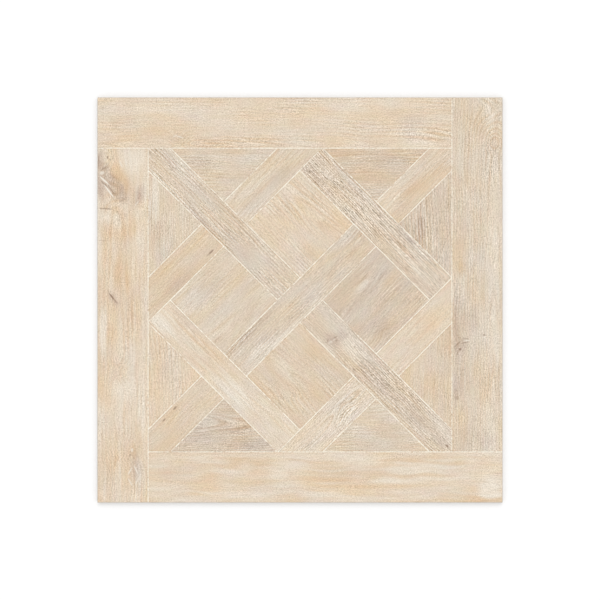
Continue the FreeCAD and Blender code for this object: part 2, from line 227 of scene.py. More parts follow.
GREY, GOLD, PALE, BOLD = range(4)   # bold marks make the rings stronger, or fainter below nought
BLOTS = (
    # kind, pixel x and y, half length and half width in pixels, heading, strength
    # border_left
    (GREY, 100, 161, 11, 4, NORTH, 1.1),
    (GREY, 106, 168, 5, 5, 45, 0.9),
    (GREY, 103, 178, 6, 5, 135, 1.4),
    (GREY, 114, 187, 16, 7.5, 128, 2.3),
    (GREY, 100, 188, 12, 4, 100, 1.3),
    (GREY, 140, 193, 7, 4, 80, 0.9),
    (GREY, 137, 202, 7, 3, 50, 0.8),
    (PALE, 134, 161, 14, 14, NORTH, 1.0),
    (BOLD, 134, 165, 16, 14, NORTH, -0.8),
    (PALE, 144, 188, 14, 3, NORTH, 0.6),
    (GOLD, 117, 172, 12, 5, 118, 1.3),
    (GOLD, 129, 192, 13, 5, 100, 1.4),
    (GOLD, 109, 207, 4, 11, NORTH, 1.0),
    (PALE, 108, 217, 5, 9, NORTH, 0.7),
    (PALE, 139, 213, 6, 6, NORTH, 0.6),
    (GOLD, 118, 233, 8, 13, NORTH, 1.1),
    (PALE, 137, 240, 8, 5, NORTH, 0.7),
    (PALE, 99, 240, 34, 2.5, NORTH, 0.8),
    (GOLD, 121, 264, 26, 10, NORTH, 0.8),
    (GOLD, 128, 302, 26, 9, NORTH, 0.7),
    (GREY, 113, 299, 9, 3, 128, 0.8),
    (PALE, 103, 328, 26, 5, NORTH, 0.9),
    (GOLD, 138, 335, 26, 6, NORTH, 0.4),
    (PALE, 124, 391, 11, 12, NORTH, 0.9),
    (PALE, 143, 414, 26, 5, NORTH, 1.2),
    (PALE, 126, 418, 14, 8, NORTH, 0.5),
    (GOLD, 133, 452, 9, 5, NORTH, 0.9),
    (GREY, 136, 466, 14, 5, NORTH, 0.7),
    (GOLD, 134, 476, 12, 4, NORTH, 0.5),
    (PALE, 120, 482, 24, 1.2, NORTH, 0.8),
    (PALE, 104, 492, 10, 4, NORTH, 0.3),
    # border_top
    (GOLD, 232, 142, 45, 4, EAST, 0.7),
    (GOLD, 203, 141, 12, 6, EAST, 0.5),
    (GREY, 178, 138, 10, 4, EAST, 0.3),
    (PALE, 165, 108, 40, 6, EAST, 0.4),
    (PALE, 145, 110, 42, 4, EAST, 0.3),
    (PALE, 430, 144, 24, 4, EAST, 0.6),
    (GREY, 414, 124, 14, 8, EAST, 0.4),
    (PALE, 230, 125, 26, 5, EAST, 0.4),
    (BOLD, 420, 132, 60, 12, EAST, 0.4),
    (BOLD, 235, 142, 50, 6, EAST, 0.6),
    (GOLD, 140, 132, 30, 12, EAST, 0.1),
    (PALE, 380, 105, 60, 6, EAST, 0.3),
    # border_right
    (PALE, 489, 112, 16, 6, NORTH, 0.7),
    (BOLD, 489, 145, 50, 8, NORTH, 0.6),
    (PALE, 493, 230, 60, 9, NORTH, 0.5),
    (PALE, 492, 335, 55, 10, NORTH, 0.6),
    (PALE, 489, 420, 22, 9, NORTH, 0.6),
    (GOLD, 462, 268, 7, 4, NORTH, 1.0),
    (GREY, 461, 318, 22, 8, NORTH, 0.5),
    (GREY, 461, 345, 8, 8, NORTH, 1.0),
    (GOLD, 463, 352, 66, 8, NORTH, 0.6),
    (GREY, 459, 362, 26, 5, NORTH, 0.5),
    (GREY, 474, 318, 13, 4, NORTH, 0.7),
    (GREY, 456, 325, 34, 2.5, NORTH, 0.6),
    (GREY, 455, 396, 18, 2, NORTH, 0.7),
    (GREY, 460, 391, 10, 7, NORTH, 0.3),
    (GOLD, 462, 391, 12, 8, NORTH, 0.7),
    (GOLD, 461, 320, 18, 7, NORTH, 0.5),
    (GREY, 467, 440, 16, 9, NORTH, 0.3),
    (GREY, 484, 440, 10, 10, NORTH, 0.35),
    # border_bottom
    (GOLD, 160, 478, 14, 8, EAST, 0.4),
    (GOLD, 228, 464, 34, 6, EAST, 1.0),
    (GOLD, 208, 473, 30, 5, EAST, 1.2),
    (GOLD, 204, 492, 20, 4, EAST, 1.1),
    (GOLD, 300, 462, 34, 5, EAST, 0.8),
    (GOLD, 335, 472, 30, 11, EAST, 1.0),
    (PALE, 279, 475, 12, 5, EAST, 1.2),
    (PALE, 245, 465, 10, 4, EAST, 0.8),
    (PALE, 246, 495, 35, 3, EAST, 0.5),
    (PALE, 330, 494, 24, 3, EAST, 0.8),
    (PALE, 360, 453, 90, 2, EAST, 0.3),
    (PALE, 418, 468, 60, 13, EAST, 0.4),
    (PALE, 400, 482, 34, 4, EAST, 0.5),
    (GOLD, 461, 461, 9, 5, EAST, 0.6),
    (GOLD, 462, 478, 14, 5, EAST, 0.7),
    (PALE, 490, 488, 13, 12, EAST, 1.6),
    # battens along the fall
    (BOLD, 192, 212, 75, 7, FALL, 0.5),
    (BOLD, 243, 262, 14, 16, FALL, -1.0),
    (GREY, 205, 223, 30, 7, FALL, 0.4),
    (PALE, 222, 235, 26, 4, FALL, 0.5),
    (BOLD, 315, 176, 18, 9, FALL, 0.8),
    (BOLD, 338, 182, 16, 6, FALL, 0.8),
    (BOLD, 385, 233, 34, 9, FALL, 0.6),
    (GREY, 381, 229, 34, 8, FALL, 0.25),
    (GREY, 407, 237, 12, 4, FALL, 0.7),
    (GREY, 313, 176, 16, 7, FALL, 0.4),
    (GOLD, 360, 235, 22, 4, FALL, 0.7),
    (PALE, 374, 218, 34, 5, FALL, 0.6),
    (PALE, 358, 212, 10, 5, FALL, 0.5),
    (PALE, 417, 274, 14, 4, FALL, 0.6),
    (GREY, 425, 248, 18, 5, FALL, 0.3),
    (PALE, 406, 258, 28, 4, FALL, 0.6),
    (GREY, 432, 262, 16, 5, FALL, 0.3),
    (GREY, 332, 340, 8, 5, FALL, 0.9),
    (GREY, 342, 336, 5, 6, FALL, 0.9),
    (PALE, 353, 352, 18, 9, FALL, 0.8),
    (PALE, 326, 346, 14, 3, FALL, 0.5),
    (BOLD, 325, 332, 22, 14, FALL, -0.8),
    (GREY, 415, 414, 24, 10, FALL, 0.45),
    (BOLD, 383, 383, 42, 12, FALL, 0.6),
    (GREY, 388, 388, 46, 12, FALL, 0.2),
    (PALE, 443, 434, 14, 8, FALL, 0.7),
    (GREY, 440, 440, 10, 8, FALL, 0.5),
    (GOLD, 419, 424, 20, 6, FALL, 0.6),
    (PALE, 161, 322, 18, 14, FALL, 1.0),
    (GOLD, 191, 331, 30, 5, FALL, 1.1),
    (GOLD, 202, 362, 14, 8, FALL, 0.5),
    (GREY, 183, 320, 14, 4, FALL, 0.3),
    (PALE, 236, 392, 22, 10, FALL, 0.9),
    # battens along the rise
    (BOLD, 239, 343, 26, 4, RISE, 0.9),
    (GREY, 239, 343, 24, 4, RISE, 0.4),
    (PALE, 283, 337, 44, 3, RISE, 0.9),
    (PALE, 256, 352, 20, 5, RISE, 0.8),
    (GREY, 258, 322, 30, 8, RISE, 0.4),
    (GOLD, 345, 262, 34, 3, RISE, 0.7),
    (PALE, 392, 199, 20, 8, RISE, 0.5),
    (GOLD, 432, 172, 28, 4, RISE, 0.5),
    (GOLD, 443, 170, 12, 11, RISE, 0.8),
    (GOLD, 418, 187, 22, 7, RISE, 0.35),
    (GREY, 178, 285, 16, 5, RISE, 0.6),
    (GOLD, 182, 280, 34, 9, RISE, 0.7),
    (GREY, 282, 176, 16, 6, RISE, 0.5),
    (PALE, 262, 178, 26, 5, RISE, 0.4),
    (GOLD, 254, 196, 22, 6, RISE, 0.8),
    (GOLD, 170, 412, 16, 8, RISE, 0.3),
    (BOLD, 346, 414, 24, 5, RISE, 0.6),
    (PALE, 352, 407, 10, 3, RISE, 0.8),
    (GOLD, 420, 330, 26, 8, RISE, 0.3),
    (GOLD, 424, 360, 8, 6, RISE, 0.4),
    # squares
    (GOLD, 300, 205, 26, 12, FALL, 0.5),
    (GOLD, 325, 232, 20, 10, FALL, 0.5),
    (GOLD, 303, 255, 10, 14, FALL, 0.9),
    (GREY, 308, 258, 8, 8, FALL, 0.3),
    (PALE, 285, 371, 18, 7, FALL, 0.4),
    (GREY, 381, 328, 10, 9, RISE, 0.5),
    (GREY, 362, 298, 34, 7, RISE, 0.25),
    (GREY, 376, 279, 18, 5, RISE, 0.35),
    (PALE, 367, 282, 11, 4, RISE, 0.8),
    (GOLD, 276, 380, 16, 12, FALL, 0.15),
    (GREY, 310, 360, 16, 10, FALL, 0.1),
    (PALE, 228, 270, 16, 12, RISE, 0.5),
    (PALE, 190, 300, 24, 14, RISE, 0.4),
    (GREY, 214, 282, 30, 12, RISE, 0.3),
    # corners
    (GREY, 252, 444, 14, 6, EAST, 0.6),
    (GREY, 238, 431, 18, 4, EAST, 0.5),
    (GREY, 214, 424, 14, 10, EAST, 0.2),
    (GOLD, 232, 441, 20, 5, EAST, 0.4),
    (GREY, 421, 229, 11, 4, NORTH, 1.7),
    (BOLD, 415, 232, 24, 10, NORTH, 0.4),
    (GREY, 380, 160, 26, 6, EAST, 0.35),
    (GOLD, 330, 155, 30, 5, EAST, 0.7),
    (GOLD, 360, 175, 20, 10, EAST, 0.1),
    (GOLD, 158, 236, 16, 7, NORTH, 0.5),
    (GOLD, 160, 346, 12, 8, NORTH, 0.6),
    (GREY, 168, 372, 16, 8, NORTH, 0.25),
    (PALE, 155, 196, 24, 4, NORTH, 0.9),
    (GREY, 200, 163, 16, 9, EAST, 0.5),
    (GOLD, 225, 152, 40, 3, EAST, 0.6),
    (GREY, 388, 432, 26, 8, EAST, 0.2),
    (GOLD, 430, 385, 24, 10, NORTH, 0.4),
)
print(len(BLOTS), "blots of colour")


def tinted(places, sides, kind):
    """How strongly one kind of blot marks each place of a board."""
    sum_of = np.zeros(len(places))
    for blot_kind, x, y, half_length, half_width, heading, strength in BLOTS:
        middle = in_photo(x, y)
        if blot_kind != kind or any(middle @ facing > distance for facing, distance, _ in sides):
            continue
        offset = places - middle
        along = offset @ pointing(heading) / (half_length * PIXEL)
        across = offset @ pointing(heading + 90) / (half_width * PIXEL)
        sum_of += strength * np.exp(-(along ** 2 + across ** 2) ** 1.5)
    return sum_of


# %% [markdown]
# ## Helpers for working by hand
# An operator acts on whatever is selected. These helpers select one object, or the vertices, edges
# or faces that a rule picks, so that each step below says only what it does.

# %% Selecting
def only(obj):
    """Makes obj the one selected object, and the active one."""
    bpy.ops.object.select_all(action="DESELECT")
    obj.select_set(True)
    bpy.context.view_layer.objects.active = obj


def enter(obj, kind="VERT"):
    only(obj)
    bpy.ops.object.mode_set(mode="EDIT")
    bpy.ops.mesh.select_mode(type=kind)


def leave():
    bpy.ops.object.mode_set(mode="OBJECT")


def pick(obj, rule, kind="verts"):
    """Selects the vertices, edges or faces of the object in edit mode that the rule is true for."""
    bpy.ops.mesh.select_all(action="DESELECT")
    mesh = bmesh.from_edit_mesh(obj.data)
    count = 0
    for element in getattr(mesh, kind):
        if rule(element):
            element.select_set(True)
            count += 1
    mesh.select_flush_mode()
    bmesh.update_edit_mesh(obj.data)
    return count


def cut(facing, distance, clear=False):
    """Cuts the mesh in edit mode along an upright plane, and drops what lies beyond it if clear."""
    bpy.ops.mesh.select_all(action="SELECT")
    place = facing * distance
    bpy.ops.mesh.bisect(
        plane_co=(place[0], place[1], FACE), plane_no=(facing[0], facing[1], 0),
        clear_outer=clear, threshold=CUT_ERROR,
    )


# %% [markdown]
# ## The boards
# On the tile each board is a low plateau between the joints. It could be cut out of one sheet, but
# then all boards would share one grid, and the brushed relief has to follow each board's own grain.
# So each board starts as a grid that is turned along its grain, is trimmed by its sides, and is cut
# again near them. Its outermost points sink to the joint's floor or to the foot of the ground bevel.

# %% One board
GRAIN_STEP = 9 * MM               # grid pitch along the grain
ACROSS_STEP = 2.5 * MM            # and across it, as fine as the limit on triangles allows
SOFT = (2.5 * MM, 5 * MM)         # further cuts beside a joint or a rim
LOW_RIM = BEVEL - JOINT_DEPTH     # from the side to where the bevel is as low as a joint


def inset_of(places, sides, rim):
    """How far inside its sides each place lies, counting only the rims or only the joints."""
    insets = [distance - places @ facing for facing, distance, is_rim in sides if is_rim == rim]
    return np.min(insets, axis=0) if insets else np.full(len(places), HALF)


def shape_board(name, heading, sides):
    """A board's plateau, trimmed to its outline, with its edges sunk."""
    corners = corners_of(sides)
    axes = np.array((pointing(heading), pointing(heading + 90)))
    low, high = (corners @ axes.T).min(axis=0), (corners @ axes.T).max(axis=0)
    middle = (low + high) / 2 @ axes
    length, width = high - low
    bpy.ops.object.select_all(action="DESELECT")
    bpy.ops.mesh.primitive_grid_add(
        x_subdivisions=round(length / GRAIN_STEP), y_subdivisions=round(width / ACROSS_STEP), size=1,
        location=(middle[0], middle[1], FACE), rotation=(0, 0, math.radians(heading)),
    )
    board = bpy.context.active_object
    board.name = name
    board.scale = (length, width, 1)
    bpy.ops.object.transform_apply(location=True, rotation=True, scale=True)

    enter(board)
    for facing, distance, is_rim in sides:
        if (corners @ facing).max() < distance - SOFT[1]:
            continue
        if is_rim:
            trim, *lines = 0, LOW_RIM, BEVEL, *SOFT
        else:
            trim, *lines = JOINT_FLOOR / 2, JOINT / 2, *SOFT
        cut(facing, distance - trim, clear=True)
        for line in lines:
            cut(facing, distance - line)
    bpy.ops.mesh.select_all(action="SELECT")
    bpy.ops.mesh.remove_doubles(threshold=HAIR)

    def inset(vertex, rim):
        return inset_of(np.array([vertex.co[:2]]), sides, rim)[0]

    def in_joint(vertex):
        off_rim = inset(vertex, rim=True) > LOW_RIM + HAIR
        return off_rim and inset(vertex, rim=False) < JOINT_FLOOR / 2 + HAIR

    pick(board, in_joint)
    bpy.ops.transform.translate(value=(0, 0, -JOINT_DEPTH))
    if pick(board, lambda v: inset(v, rim=True) < LOW_RIM + HAIR):
        bpy.ops.transform.translate(value=(0, 0, -JOINT_DEPTH))
        pick(board, lambda v: inset(v, rim=True) < HAIR)
        bpy.ops.transform.translate(value=(0, 0, -LOW_RIM))
    leave()
    return board


# %% [markdown]
# ## What each board tells its material
# One material prints all the boards, so the mesh carries what differs: where a point lies along and
# across its board, how far it is from the joint, and the oak of its board. A point attribute holds
# each of these. A UV map squeezed along the grain carries the brushed relief.

# %% Attributes of a board
SQUEEZE = 1 / 9                   # makes the brushed relief nine times as long as it is wide
FADE = 5 * MM                     # from a joint's middle to where the relief is full


def write_points(mesh, name, kind, values):
    """Stores a value for each point of the mesh."""
    field_name = {"FLOAT": "value", "FLOAT_VECTOR": "vector", "FLOAT_COLOR": "color"}[kind]
    layer = mesh.attributes.new(name, kind, "POINT")
    layer.data.foreach_set(field_name, np.asarray(values, dtype=np.float32).ravel())


def describe_board(board, number, heading, sides, looks):
    """Writes the attributes, the relief's weights and the relief's UV map of one board."""
    mesh = board.data
    count = len(mesh.vertices)
    places = np.empty(3 * count)
    mesh.vertices.foreach_get("co", places)
    places = places.reshape(-1, 3)[:, :2]
    middle = corners_of(sides).mean(axis=0)
    along = (places - middle) @ pointing(heading)
    across = (places - middle) @ pointing(heading + 90)
    joint = inset_of(places, sides, rim=False)
    rim = inset_of(places, sides, rim=True)

    plank = np.stack((along, across, np.full(count, number)), axis=1)
    write_points(mesh, "plank", "FLOAT_VECTOR", plank)
    write_points(mesh, "joint", "FLOAT", np.minimum(joint, FADE))
    write_points(mesh, "tone", "FLOAT_COLOR", np.tile(looks["tone"], (count, 1)))
    write_points(mesh, "log", "FLOAT_VECTOR", np.tile(looks["log"], (count, 1)))
    write_points(mesh, "mood", "FLOAT_COLOR", np.tile(looks["mood"], (count, 1)))
    blots = [tinted(places, sides, kind) for kind in (GREY, GOLD, PALE, BOLD)]
    write_points(mesh, "blots", "FLOAT_COLOR", np.stack(blots, axis=1))

    weights = np.clip((np.minimum(joint, rim) - BEVEL - HAIR) / (FADE - BEVEL), 0, 1)
    group = board.vertex_groups.new(name="relief")
    for index in np.flatnonzero(weights > 0):
        group.add([int(index)], float(weights[index]), "REPLACE")

    loops = np.empty(len(mesh.loops), dtype=np.int32)
    mesh.loops.foreach_get("vertex_index", loops)
    layer = mesh.uv_layers[0] if mesh.uv_layers else mesh.uv_layers.new()
    layer.name = "brushed"
    uv = np.stack((along * SQUEEZE + number, across), axis=1)[loops]
    layer.data.foreach_set("uv", uv.ravel())


boards = []
for number, (name, (heading, sides, looks)) in enumerate(BOARDS.items()):
    board = shape_board(name, heading, sides)
    describe_board(board, number, heading, sides, looks)
    boards.append(board)
print(len(boards), "boards,", sum(len(b.data.polygons) for b in boards), "faces")

# %% [markdown]
# ## One face out of all the boards
# The boards are joined into one mesh. Four border joints run out at the tile's sides, and a small
# face closes each at the bevel. Fill then lays the floor of the joints between all the loops that
# lie at its height, holes and all, which no single face could do.

# %% Join the boards and lay the joints' floor
only(boards[0])
for board in boards:
    board.select_set(True)
bpy.ops.object.join()
tile = bpy.context.active_object
tile.name = tile.data.name = "parquet_tile"


def runs_out(vertex, place):
    """Whether a point is one of the open ones where a joint runs out at the tile's side."""
    offset = np.abs(np.array(vertex.co[:2]) - place)
    return vertex.is_boundary and offset.max() < JOINT_FLOOR / 2 + HAIR


def on_bed(edge):
    """Whether an edge is an open one at the height of the joints' floor."""
    return edge.is_boundary and all(abs(v.co.z - BED) < HAIR for v in edge.verts)


enter(tile)
for turn in range(4):
    exit_at = np.array((-HALF, FIELD)) @ np.array((pointing(90 * turn), pointing(90 * turn + 90)))
    count = pick(tile, lambda v: runs_out(v, exit_at))
    bpy.ops.mesh.edge_face_add()
    print("a joint runs out at", np.round(exit_at / MM), "mm, closed with", count, "points")
bpy.ops.mesh.select_mode(type="EDGE")
count = pick(tile, on_bed, "edges")
bpy.ops.mesh.fill(use_beauty=True)
print("the joints' floor fills the space between", count, "edges")

# %% [markdown]
# ## Sides and back
# The sides are the rim's edges pulled straight down. The back starts as a grid with one face for
# each cell of the lattice. Insetting every face by itself leaves the ribs between them, a second
# inset that also moves inwards gives the cells their leaning walls. A fill joins the lattice to the
# sides with the flat rim that the tile rests on.

# %% Sides
count = pick(tile, lambda e: e.is_boundary, "edges")
bpy.ops.mesh.extrude_region_move(TRANSFORM_OT_translate={"value": (0, 0, BEVEL - FACE)})
leave()
print("sides:", count, "edges pulled down")

# %% Back
CELLS = 20                        # along each side of the lattice
PITCH = 37.5 * MM
RIB = 3 * MM                      # a rib's crest
CELL_DEPTH = 0.8 * MM
WALL_LEAN = 0.46 * MM             # how much narrower a cell is at its floor, on each side
CELL_CORNER = 2.5 * MM            # how much of a cell's corners is rounded off

bpy.ops.object.select_all(action="DESELECT")
bpy.ops.mesh.primitive_grid_add(
    x_subdivisions=CELLS, y_subdivisions=CELLS, size=CELLS * PITCH, location=(0, 0, 0)
)
back = bpy.context.active_object
enter(back, "FACE")
bpy.ops.mesh.select_all(action="SELECT")
bpy.ops.mesh.inset(thickness=RIB / 2, depth=0, use_individual=True)
bpy.ops.mesh.bevel(offset=CELL_CORNER, segments=2, affect="VERTICES")
pick(back, lambda f: f.calc_area() > (PITCH - 2 * RIB) ** 2, "faces")
bpy.ops.mesh.inset(thickness=WALL_LEAN, depth=CELL_DEPTH, use_individual=True)
leave()
print("back:", len(back.data.polygons), "faces")

# %% Close the tile
only(tile)
back.select_set(True)
bpy.ops.object.join()
enter(tile, "EDGE")
pick(tile, lambda e: e.is_boundary, "edges")
bpy.ops.mesh.fill(use_beauty=True)
bpy.ops.mesh.select_all(action="SELECT")
bpy.ops.mesh.normals_make_consistent(inside=False)
bpy.ops.mesh.select_all(action="DESELECT")
bpy.ops.mesh.select_non_manifold()
leave()
print("open edges left:", sum(e.select for e in tile.data.edges))

# %% [markdown]
# ## Relief
# The press leaves the face slightly uneven: slow waves, as if the boards were scraped by hand, and a
# brushed grain that is long and narrow. Both are Displace modifiers that only lower the points, so
# that no point rises over the tile's face. Their weights fade to nothing at the joints.

# %% Waves and brushed grain
def lower(name, size, amount, coordinates):
    """Presses a cloudy relief into the boards."""
    texture = bpy.data.textures.new(name, "CLOUDS")
    texture.noise_scale = size
    texture.noise_depth = 1
    modifier = tile.modifiers.new(name, "DISPLACE")
    modifier.texture = texture
    modifier.texture_coords = coordinates
    if coordinates == "UV":
        modifier.uv_layer = "brushed"
    modifier.vertex_group = "relief"
    modifier.direction = "Z"
    modifier.mid_level = 1
    modifier.strength = amount
    only(tile)
    bpy.ops.object.modifier_apply(modifier=name)


lower("scraped", 70 * MM, 0.15 * MM, "LOCAL")
lower("brushed", 14 * MM, 0.18 * MM, "UV")
bpy.ops.object.shade_smooth_by_angle(angle=math.radians(30))
heights = [v.co.z for v in tile.data.vertices]
print(f"from {min(heights) / MM:.2f} to {max(heights) / MM:.2f} mm, {len(tile.data.polygons)} faces")

# %% [markdown]
# ## A map for the baked picture
# Someone who takes this tile into a game gets its print as one square picture. A map made by an
# unwrap would give the back as much of it as the face. So the map is laid out: the face takes
# most of the square, the back's two halves lie beside it and above it, and the sides fill the corner.

# %% Lay out the map
FACE_SHARE = 0.86                 # of the map's width, for the face
GAP = 0.006                       # between the map's islands
BAND = 1 - FACE_SHARE - 2 * GAP   # width of what is beside the face
ROW_GAP = 0.1                     # of a side's row, left free between two sides


def place_on_map(face, loop):
    """Where a corner of a face lies on the map."""
    x, y, z = loop.vert.co
    middle = face.calc_center_median()
    outwards = max(abs(middle.x), abs(middle.y))
    east, north = (x + HALF) / (2 * HALF), (y + HALF) / (2 * HALF)
    if face.normal.z > 0.3 and outwards < HALF - BEVEL:
        return east * FACE_SHARE, north * FACE_SHARE
    if outwards < HALF - HAIR and middle.z < FACE / 2:
        if middle.x < 0:
            return FACE_SHARE + GAP + 2 * east * BAND, north * FACE_SHARE
        return north * FACE_SHARE, FACE_SHARE + GAP + 2 * (1 - east) * BAND
    along, side = (north, 0) if abs(middle.x) > abs(middle.y) else (east, 2)
    if middle.x + middle.y > 0:
        side += 1
    row = side + (1 - ROW_GAP) * z / FACE
    return FACE_SHARE + GAP + along * BAND, FACE_SHARE + GAP + row * BAND / 4


only(tile)
bpy.ops.object.mode_set(mode="EDIT")
bpy.ops.mesh.select_mode(type="FACE")
pick(tile, lambda f: f.normal.z < -0.9 and abs(f.calc_center_median().z) < HAIR, "faces")
bpy.ops.mesh.bisect(plane_co=(0, 0, 0), plane_no=(1, 0, 0), threshold=CUT_ERROR)
mesh = bmesh.from_edit_mesh(tile.data)
baked = mesh.loops.layers.uv.new("OFBake")
mesh.normal_update()
for face in mesh.faces:
    for loop in face.loops:
        loop[baked].uv = place_on_map(face, loop)
bmesh.update_edit_mesh(tile.data)
leave()
tile.data.uv_layers.remove(tile.data.uv_layers["brushed"])
tile.data.uv_layers["OFBake"].active_render = True
print("maps:", [layer.name for layer in tile.data.uv_layers])

# %% [markdown]
# ## Sums with sockets
# A pattern is mostly arithmetic. Wire wraps an output of a node, and Python's own signs then add the
# Math nodes, so that the oak below reads as formulas.

# %% A socket to calculate with
class Wire:
    """An output of a node. Sums with it add Math nodes to the tree that is being made."""
    tree = None

    def __init__(self, socket):
        self.socket = socket

    @classmethod
    def node(cls, kind, settings, sockets, output=0):
        """Adds a node, sets it, then feeds its sockets with numbers, colours or wires."""
        new = cls.tree.nodes.new("ShaderNode" + kind)
        for name, value in settings.items():
            setattr(new, name, value)
        for name, value in sockets.items():
            if isinstance(value, Wire):
                cls.tree.links.new(value.socket, new.inputs[name])
            else:
                new.inputs[name].default_value = value
        return cls(new.outputs[output])

    @classmethod
    def math(cls, operation, *values):
        return cls.node("Math", {"operation": operation}, dict(enumerate(values)))

    def other(self, output):
        """Another output of the same node."""
        return Wire(self.socket.node.outputs[output])

    def parts(self):
        """The three parts of a vector."""
        split = Wire.node("SeparateXYZ", {}, {0: self})
        return split, split.other(1), split.other(2)

    def __add__(self, value):
        return Wire.math("ADD", self, value)

    def __sub__(self, value):
        return Wire.math("SUBTRACT", self, value)

    def __mul__(self, value):
        return Wire.math("MULTIPLY", self, value)

    def __truediv__(self, value):
        return Wire.math("DIVIDE", self, value)

    def __rsub__(self, value):
        return Wire.math("SUBTRACT", value, self)

    def __neg__(self):
        return Wire.math("MULTIPLY", self, -1)

    __radd__ = __add__
    __rmul__ = __mul__

    def clamped(self):
        """The value, kept between 0 and 1."""
        return Wire.node("Clamp", {}, {"Value": self})

    def between(self, start, end):
        """0 below start, 1 above end, and a soft step between them. Start may be the higher one."""
        return Wire.node("MapRange", {"interpolation_type": "SMOOTHSTEP"},
                         {"Value": self, "From Min": start, "From Max": end})


def attribute(name):
    return Wire.node("Attribute", {"attribute_name": name}, {}, "Vector")


def vector(x, y, z):
    """One vector or colour out of three numbers."""
    return Wire.node("CombineXYZ", {}, {"X": x, "Y": y, "Z": z})


def noise(x, y, z=0.0, detail=1, roughness=0.5):
    """Smooth noise with about one bump for each unit, from -0.5 to 0.5 round nought."""
    sockets = {"Vector": vector(x, y, z), "Scale": 1, "Detail": detail, "Roughness": roughness}
    return Wire.node("TexNoise", {}, sockets) - 0.5


def mix(first, second, share):
    """The first colour where share is 0, the second where it is 1. A Mix node has sockets for
    numbers, vectors and colours, and its colours are at 6 and 7, with their result at 2."""
    return Wire.node("Mix", {"data_type": "RGBA"}, {0: share, 6: first, 7: second}, 2)


def times(colour, factors):
    """A colour multiplied by another."""
    return Wire.node("VectorMath", {"operation": "MULTIPLY"}, {0: colour, 1: factors})


def stained(colour, stain, share):
    """A colour multiplied by a stain where share is 1, and left alone where it is 0."""
    return mix(colour, times(colour, stain), share)


def start_material(name):
    """A new material, with its shader node."""
    material = bpy.data.materials.new(name)
    material.use_nodes = True
    Wire.tree = material.node_tree
    return material, material.node_tree.nodes["Principled BSDF"]


def finish_material(shader, colour, roughness, height):
    """Feeds the shader. The height is in metres, and a Bump node turns it into a normal."""
    bump = Wire.node("Bump", {}, {"Height": height, "Distance": 1.0})
    for name, wire in (("Base Color", colour), ("Roughness", roughness), ("Normal", bump)):
        Wire.tree.links.new(wire.socket, shader.inputs[name])


# %% [markdown]
# ## The rings of the log
# The rings of a log are rounds about its middle. A board's face cuts them at a slant, so the distance
# to the log's middle, divided by a ring's width, counts the rings that a point is from the middle.
# Noise bends that distance, and a swirl round each knot pushes it outwards. In the noises below, the
# number beside along or across says how many bumps there are in a metre: along * 8 has one every
# 125 mm. What is added to the seed only keeps two noises from being alike.

# %% Swirls round the knots
SWIRLS = (
    # pixel x and y, radius in pixels, how many rings it pushes
    (178, 138, 9, 2.6),
    (489, 110, 14, 3.0),
    (494, 142, 8, -2.0),
    (124, 373, 10, 2.2),
    (133, 452, 11, 2.8),
    (106, 158, 9, 2.2),
    (115, 190, 13, 2.4),
    (464, 344, 10, 2.6),
    (331, 340, 7, 1.8),
    (381, 328, 9, 2.4),
    (280, 381, 8, 1.8),
    (292, 391, 7, 1.6),
    (347, 413, 10, 1.6),
)


def offset_in(place, x, y, size_along, size_across, heading=EAST):
    """The square of how far a place is from an oval's middle, a pixel of the photograph. It is 0
    there and 1 on the oval's outline."""
    middle = in_photo(x, y)
    ahead, aside = pointing(heading), pointing(heading + 90)
    east, north = place
    along = (east * ahead[0] + north * ahead[1] - middle @ ahead) / (size_along * PIXEL)
    across = (east * aside[0] + north * aside[1] - middle @ aside) / (size_across * PIXEL)
    return along * along + across * across


# %% What the board says
GRAIN_SEED = 17.0                 # from one board's noises to the next board's

oak_print, shader = start_material("printed oak")
along, across, number = attribute("plank").parts()
centre, depth, slope = attribute("log").parts()
mood = attribute("mood")
ring, lines, greyness = mood.parts()
cloudiness = mood.other("Alpha")
blots = attribute("blots")
grey_blot, gold_blot, pale_blot = blots.parts()
bold_blot = blots.other("Alpha")
tone = attribute("tone")
joint = attribute("joint").other("Fac")
east, north, _ = Wire.node("TexCoord", {}, {}, "Object").parts()
seed = number * GRAIN_SEED

# %% Rings
BEND = 13 * MM                    # how far slow noise carries the rings sideways
WOBBLE = 0.5                      # how far quick noise does, in rings
WAVER = 20 * MM                   # how far the log's middle strays up and down

bend = noise(along * 8, across * 14, seed)
ripple = noise(along * 55, across * 170, seed + 5)
swirl = 0
for x, y, reach, push in SWIRLS:
    swirl = swirl + push * Wire.math("EXPONENT", -offset_in((east, north), x, y, reach, reach))
sideways = across - centre + bend * BEND + ripple * ring * WOBBLE
above = depth + slope * along + noise(along * 3, seed, 2.5) * WAVER
radius = Wire.math("SQRT", sideways * sideways + above * above)
rings = radius / ring + swirl

# %% [markdown]
# ## Tones of the rings, fibres and pores
# Noise that is read along the rings makes some of them darker or paler: in groups (broad) and one by
# one (figure). The late wood at the end of each ring is a thin dark line. Fibres and pores are noise
# stretched along the board, and they lean with its bend. Much slower noise lets a board drift
# towards grey, honey, pink or lime.

# %% Tones of the rings
broad = noise(rings * 0.8, along * 4, seed, detail=1)
figure = noise(rings * 1.7, along * 7, seed + 2, detail=2, roughness=0.6)
year = Wire.math("FRACT", rings + figure * 0.8)
late = Wire.math("ABSOLUTE", year - 0.5).between(0.15, 0.5) - 0.35

# %% Fibres and pores
LEAN = 12 * MM                    # how far the fibres follow the bend
SHIVER = 1.5 * MM                 # and the ripple

